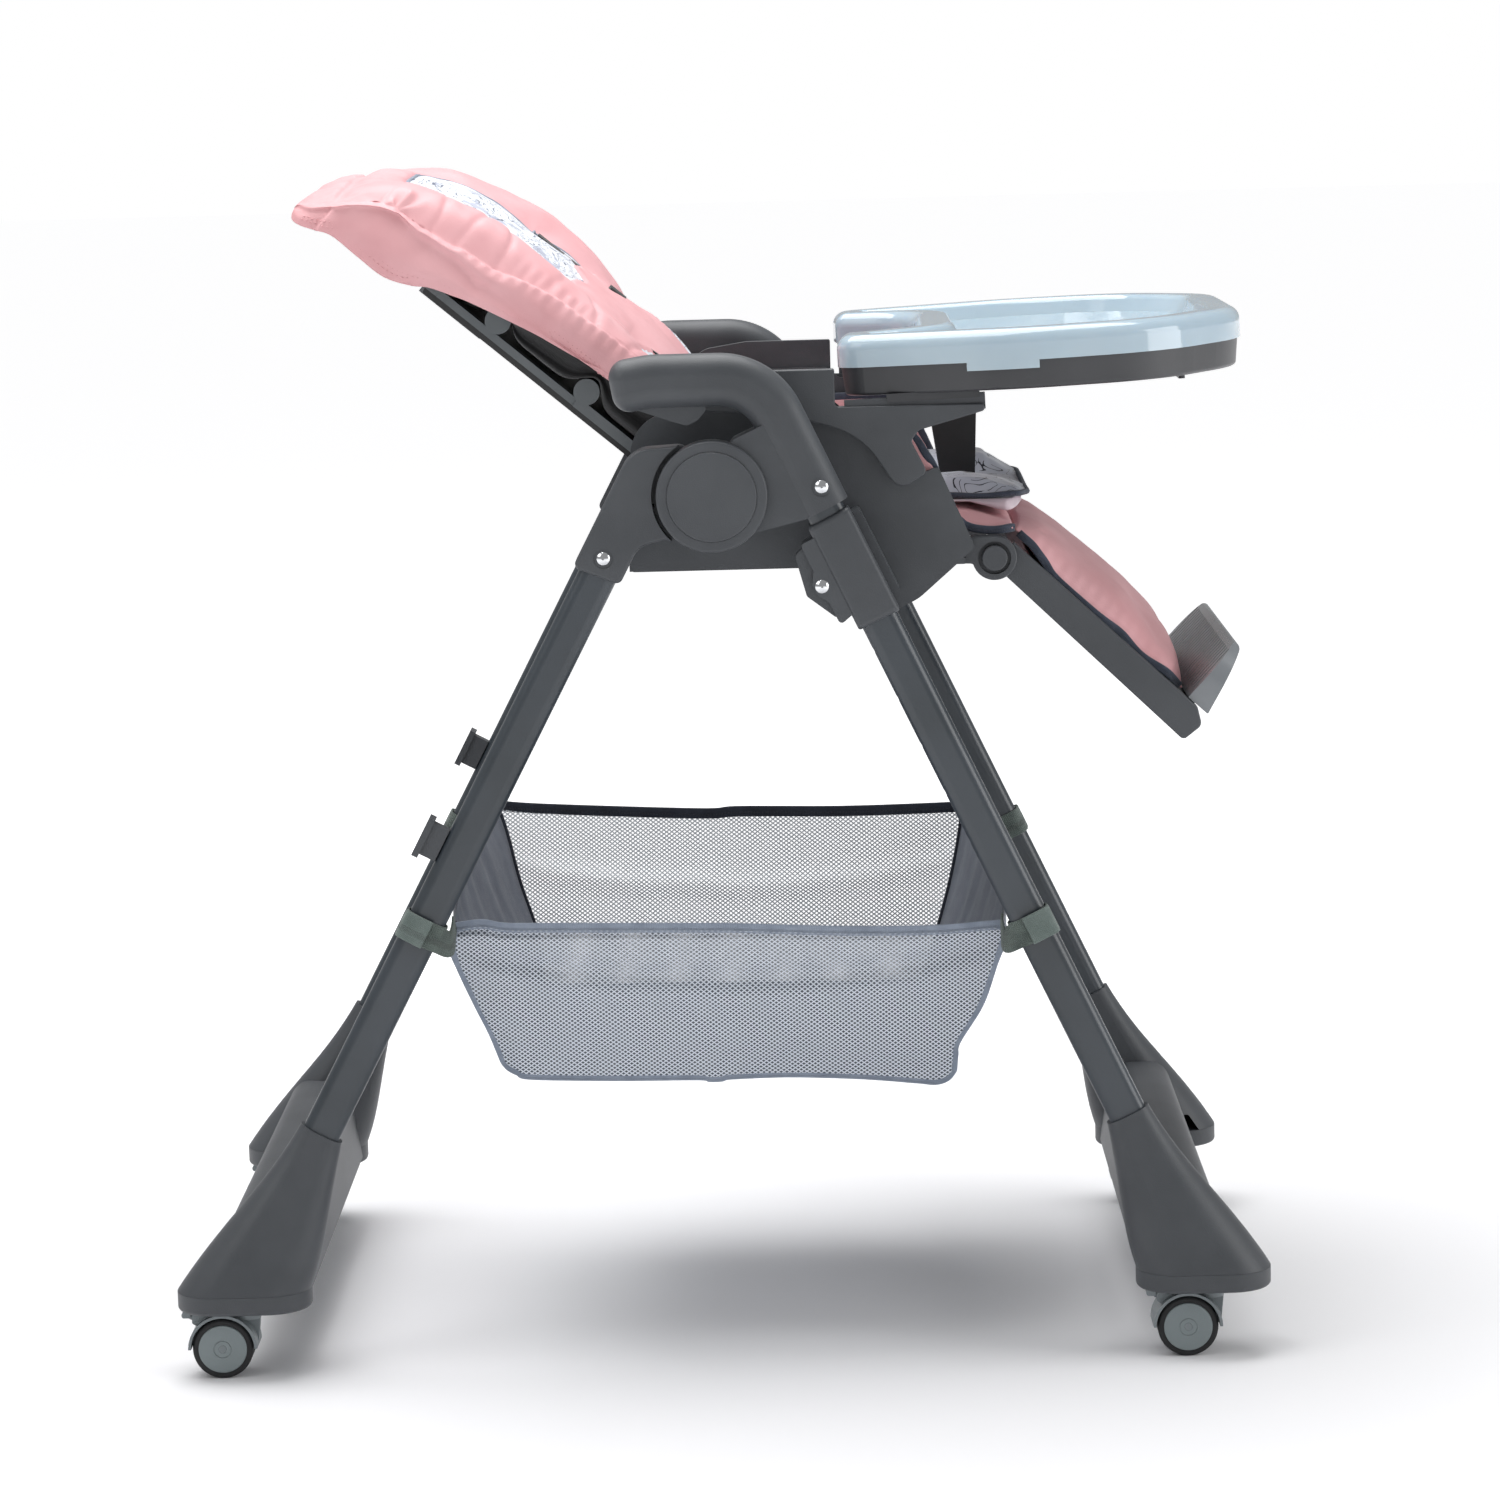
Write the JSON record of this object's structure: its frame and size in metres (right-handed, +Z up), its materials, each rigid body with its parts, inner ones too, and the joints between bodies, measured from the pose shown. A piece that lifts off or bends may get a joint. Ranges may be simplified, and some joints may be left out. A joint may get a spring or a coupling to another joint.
{
  "type": "baby high chair",
  "caption": "Folding baby high chair on casters with a height-adjustable reclining seat, leg rest, slide-out tray and storage basket.",
  "frame": {"origin": "centre of the bounding box on the floor", "axes": "+X towards the tray, +Y to the seated child's left, +Z up"},
  "size_m": [0.8315, 0.57, 0.9027],
  "materials": {
    "basket_mesh": "blue-grey mesh and woven fabric",
    "black_moulding": "black moulding",
    "caster_grey": "satin grey moulding",
    "caster_wheel": "black rubber with a grey disc",
    "cover_gloss": "glossy translucent blue-grey",
    "dark_moulding": "fine-textured charcoal moulding",
    "harness_web": "black webbing and buckle",
    "leg_paint": "satin slate powder coat",
    "liner_fabric": "grey-lilac padded liner with a line pattern",
    "moulding": "fine-textured dark grey moulding",
    "pink_leather": "soft pink coated fabric",
    "rivet_chrome": "polished",
    "stay_paint": "black powder coat",
    "strap_web": "grey-green touch-fasten strap"
  },
  "bodies": {
    "front_frame": {"front_leg_tube_right": "leg_paint", "front_leg_tube_left": "leg_paint", "armrest_right": "moulding", "armrest_left": "moulding", "front_foot_bar": "moulding", "front_foot_plates": "moulding", "hub_caps": "moulding", "hub_pins": "rivet_chrome", "front_rivets": "rivet_chrome", "basket": "basket_mesh", "basket_straps_front": "strap_web"},
    "rear_frame": {"rear_leg_tube_right": "leg_paint", "rear_leg_tube_left": "leg_paint", "rear_leg_socket_right": "moulding", "rear_leg_socket_left": "moulding", "rear_foot_bar": "moulding", "rear_foot_plates": "moulding", "tray_hooks": "dark_moulding", "rear_rivets": "rivet_chrome", "basket_straps_rear": "strap_web"},
    "seat": {"seat_shell": "moulding", "slider_right": "moulding", "slider_left": "moulding", "slider_rivets": "rivet_chrome", "tray_arm_right": "moulding", "tray_arm_left": "moulding", "seat_cushion": "pink_leather", "seat_insert": "liner_fabric", "lap_harness": "harness_web"},
    "backrest": {"backrest_shell": "black_moulding", "backrest_rails": "stay_paint", "backrest_cushion": "pink_leather", "shoulder_harness": "harness_web"},
    "recline_handle": {"recline_handle": "black_moulding"},
    "legrest": {"legrest_frame": "moulding", "legrest_pins": "rivet_chrome", "legrest_pad": "pink_leather"},
    "footrest": {"footrest": "moulding"},
    "tray": {"tray_base": "dark_moulding", "crotch_post": "black_moulding"},
    "tray_latch": {"tray_latch": "dark_moulding"},
    "tray_cover": {"tray_cover": "cover_gloss"},
    "fold_trigger_right": {"fold_trigger_right": "moulding"},
    "height_lock_right": {"height_lock_right": "moulding"},
    "legrest_button_right": {"legrest_button_right": "moulding"},
    "front_caster_housing_right": {"front_caster_housing_right": "caster_grey"},
    "front_caster_wheels_right": {"front_caster_wheels_right": "caster_wheel"},
    "front_caster_brake_right": {"front_caster_brake_right": "caster_grey"},
    "rear_caster_housing_right": {"rear_caster_housing_right": "caster_grey"},
    "rear_caster_wheels_right": {"rear_caster_wheels_right": "caster_wheel"},
    "rear_caster_brake_right": {"rear_caster_brake_right": "caster_grey"},
    "fold_trigger_left": {"fold_trigger_left": "moulding"},
    "height_lock_left": {"height_lock_left": "moulding"},
    "legrest_button_left": {"legrest_button_left": "moulding"},
    "front_caster_housing_left": {"front_caster_housing_left": "caster_grey"},
    "front_caster_wheels_left": {"front_caster_wheels_left": "caster_wheel"},
    "front_caster_brake_left": {"front_caster_brake_left": "caster_grey"},
    "rear_caster_housing_left": {"rear_caster_housing_left": "caster_grey"},
    "rear_caster_wheels_left": {"rear_caster_wheels_left": "caster_wheel"},
    "rear_caster_brake_left": {"rear_caster_brake_left": "caster_grey"}
  },
  "joints": [
    {"name": "frame_fold", "type": "hinge", "parent": "front_frame", "child": "rear_frame", "pos_m": [0.006, 0, 0.661], "axis": [0, -1, 0], "range_deg": [0, 46]},
    {"name": "seat_height", "type": "slide", "parent": "front_frame", "child": "seat", "axis": [0.4258, 0, -0.9048], "range_m": [0, 0.2]},
    {"name": "backrest_recline", "type": "hinge", "parent": "seat", "child": "backrest", "pos_m": [-0.042, 0, 0.65], "axis": [0, 1, 0], "range_deg": [0, 40]},
    {"name": "recline_release", "type": "slide", "parent": "backrest", "child": "recline_handle", "axis": [-0.7638, 0, 0.6455], "range_m": [0, 0.012], "stiffness_N_per_m": 300},
    {"name": "legrest_tilt", "type": "hinge", "parent": "seat", "child": "legrest", "pos_m": [0.218, 0, 0.602], "axis": [0, -1, 0], "range_deg": [-45, 40]},
    {"name": "footrest_slide", "type": "slide", "parent": "legrest", "child": "footrest", "axis": [0.7278, 0, -0.6858], "range_m": [0, 0.04]},
    {"name": "tray_slide", "type": "slide", "parent": "seat", "child": "tray", "axis": [0.9994, 0, 0.0349], "range_m": [0, 0.055]},
    {"name": "tray_release", "type": "slide", "parent": "tray", "child": "tray_latch", "axis": [0.9994, 0, 0.0349], "range_m": [0, 0.008], "stiffness_N_per_m": 300},
    {"name": "tray_cover_lift", "type": "slide", "parent": "tray", "child": "tray_cover", "axis": [-0.0349, 0, 0.9994], "range_m": [0, 0.06]},
    {"name": "fold_release_right", "type": "slide", "parent": "front_frame", "child": "fold_trigger_right", "axis": [0, 0, 1], "range_m": [0, 0.006], "stiffness_N_per_m": 400},
    {"name": "height_release_right", "type": "hinge", "parent": "seat", "child": "height_lock_right", "pos_m": [0.08621, -0.242, 0.59154], "axis": [0, 1, 0], "range_deg": [0, 7], "stiffness_Nm_per_rad": 1.5},
    {"name": "legrest_release_right", "type": "slide", "parent": "seat", "child": "legrest_button_right", "axis": [0, 1, 0], "range_m": [0, 0.003], "stiffness_N_per_m": 600},
    {"name": "front_caster_swivel_right", "type": "hinge", "parent": "front_frame", "child": "front_caster_housing_right", "pos_m": [0.36688, -0.25, 0.06], "axis": [0, 0, 1], "continuous": true},
    {"name": "front_caster_roll_right", "type": "hinge", "parent": "front_caster_housing_right", "child": "front_caster_wheels_right", "pos_m": [0.34988, -0.25, 0.023], "axis": [0, 1, 0], "continuous": true},
    {"name": "front_brake_right", "type": "hinge", "parent": "front_caster_housing_right", "child": "front_caster_brake_right", "pos_m": [0.33038, -0.25, 0.0456], "axis": [0, -1, 0], "range_deg": [0, 12]},
    {"name": "rear_caster_swivel_right", "type": "hinge", "parent": "rear_frame", "child": "rear_caster_housing_right", "pos_m": [-0.36521, -0.25, 0.06], "axis": [0, 0, 1], "continuous": true},
    {"name": "rear_caster_roll_right", "type": "hinge", "parent": "rear_caster_housing_right", "child": "rear_caster_wheels_right", "pos_m": [-0.38221, -0.25, 0.023], "axis": [0, 1, 0], "continuous": true},
    {"name": "rear_brake_right", "type": "hinge", "parent": "rear_caster_housing_right", "child": "rear_caster_brake_right", "pos_m": [-0.40171, -0.25, 0.0456], "axis": [0, -1, 0], "range_deg": [0, 12]},
    {"name": "fold_release_left", "type": "slide", "parent": "front_frame", "child": "fold_trigger_left", "axis": [0, 0, 1], "range_m": [0, 0.006], "stiffness_N_per_m": 400},
    {"name": "height_release_left", "type": "hinge", "parent": "seat", "child": "height_lock_left", "pos_m": [0.08621, 0.242, 0.59154], "axis": [0, 1, 0], "range_deg": [0, 7], "stiffness_Nm_per_rad": 1.5},
    {"name": "legrest_release_left", "type": "slide", "parent": "seat", "child": "legrest_button_left", "axis": [0, -1, 0], "range_m": [0, 0.003], "stiffness_N_per_m": 600},
    {"name": "front_caster_swivel_left", "type": "hinge", "parent": "front_frame", "child": "front_caster_housing_left", "pos_m": [0.36688, 0.25, 0.06], "axis": [0, 0, 1], "continuous": true},
    {"name": "front_caster_roll_left", "type": "hinge", "parent": "front_caster_housing_left", "child": "front_caster_wheels_left", "pos_m": [0.34988, 0.25, 0.023], "axis": [0, 1, 0], "continuous": true},
    {"name": "front_brake_left", "type": "hinge", "parent": "front_caster_housing_left", "child": "front_caster_brake_left", "pos_m": [0.33038, 0.25, 0.0456], "axis": [0, -1, 0], "range_deg": [0, 12]},
    {"name": "rear_caster_swivel_left", "type": "hinge", "parent": "rear_frame", "child": "rear_caster_housing_left", "pos_m": [-0.36521, 0.25, 0.06], "axis": [0, 0, 1], "continuous": true},
    {"name": "rear_caster_roll_left", "type": "hinge", "parent": "rear_caster_housing_left", "child": "rear_caster_wheels_left", "pos_m": [-0.38221, 0.25, 0.023], "axis": [0, 1, 0], "continuous": true},
    {"name": "rear_brake_left", "type": "hinge", "parent": "rear_caster_housing_left", "child": "rear_caster_brake_left", "pos_m": [-0.40171, 0.25, 0.0456], "axis": [0, -1, 0], "range_deg": [0, 12]}
  ]
}
